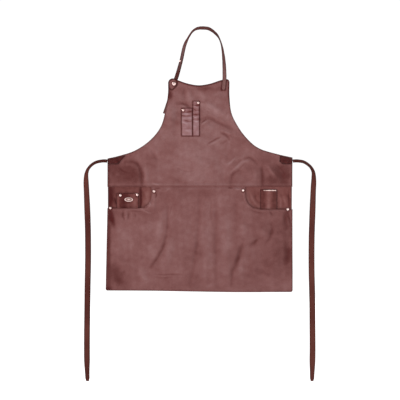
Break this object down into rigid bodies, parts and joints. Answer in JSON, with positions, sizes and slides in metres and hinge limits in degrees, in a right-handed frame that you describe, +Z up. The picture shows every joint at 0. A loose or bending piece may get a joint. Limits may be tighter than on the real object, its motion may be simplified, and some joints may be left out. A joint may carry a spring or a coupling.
{
  "type": "leather bib apron",
  "caption": "Full-length leather bib apron with a neck strap, pen pockets, riveted hip pockets and long waist ties, hanging by its strap.",
  "frame": {"origin": "underside of the neck strap at the top of its arch, where the apron hangs", "axes": "+Z up, front of the apron towards -Y, +X to the right as seen from the front"},
  "size_m": [0.9319, 0.0278, 1.4153],
  "materials": {
    "panel_leather": "oiled full-grain, satin",
    "pocket_leather": "oiled full-grain, satin",
    "dark_leather": "dyed, satin",
    "strap_leather": "oiled bridle leather, satin",
    "rose_gold": "polished rose-gold plate"
  },
  "bodies": {
    "neck_loop": {"neck_strap": "strap_leather", "strap_stud_cap": "rose_gold", "strap_stud_back": "rose_gold"},
    "bib": {"bib_panel": "panel_leather", "waist_seam": "panel_leather", "strap_end_left": "strap_leather", "strap_end_right": "strap_leather", "corner_tab": "panel_leather", "corner_stud_cap": "rose_gold", "corner_stud_back": "rose_gold", "pen_pocket_wide": "pocket_leather", "pen_pocket_narrow": "pocket_leather", "pen_rivet_wide_cap": "rose_gold", "pen_rivet_wide_back": "rose_gold", "pen_rivet_narrow_cap": "rose_gold", "pen_rivet_narrow_back": "rose_gold", "tie_anchor_left": "dark_leather", "tie_anchor_right": "dark_leather"},
    "skirt": {"skirt_panel": "panel_leather", "hip_pocket_back_left": "pocket_leather", "hip_pocket_back_right": "pocket_leather", "hip_pocket_rim_left": "pocket_leather", "hip_pocket_rim_right": "pocket_leather", "coin_pocket_left": "pocket_leather", "coin_pocket_right": "pocket_leather", "hip_rivet_left_inner_cap": "rose_gold", "hip_rivet_left_inner_back": "rose_gold", "hip_rivet_left_side_cap": "rose_gold", "hip_rivet_left_side_back": "rose_gold", "hip_rivet_right_inner_cap": "rose_gold", "hip_rivet_right_inner_back": "rose_gold", "hip_rivet_right_side_cap": "rose_gold", "hip_rivet_right_side_back": "rose_gold", "coin_rivet_outer_cap": "rose_gold", "coin_rivet_outer_back": "rose_gold", "coin_rivet_inner_cap": "rose_gold", "coin_rivet_inner_back": "rose_gold", "pocket_badge": "rose_gold", "pocket_bar": "rose_gold"},
    "tie_left": {"tie_left": "strap_leather"},
    "tie_right": {"tie_right": "strap_leather"}
  },
  "joints": [
    {"name": "neck_fold", "type": "hinge", "parent": "neck_loop", "child": "bib", "pos_m": [0, 0, -0.2], "axis": [1, 0, 0], "range_deg": [-100, 100]},
    {"name": "waist_fold", "type": "hinge", "parent": "bib", "child": "skirt", "pos_m": [0, 0, -0.635], "axis": [1, 0, 0], "range_deg": [-140, 120]},
    {"name": "tie_left_swing", "type": "hinge", "parent": "bib", "child": "tie_left", "pos_m": [-0.378, -0.0023, -0.533], "axis": [1, 0, 0], "range_deg": [-110, 110]},
    {"name": "tie_right_swing", "type": "hinge", "parent": "bib", "child": "tie_right", "pos_m": [0.362, -0.0023, -0.533], "axis": [1, 0, 0], "range_deg": [-110, 110]}
  ]
}
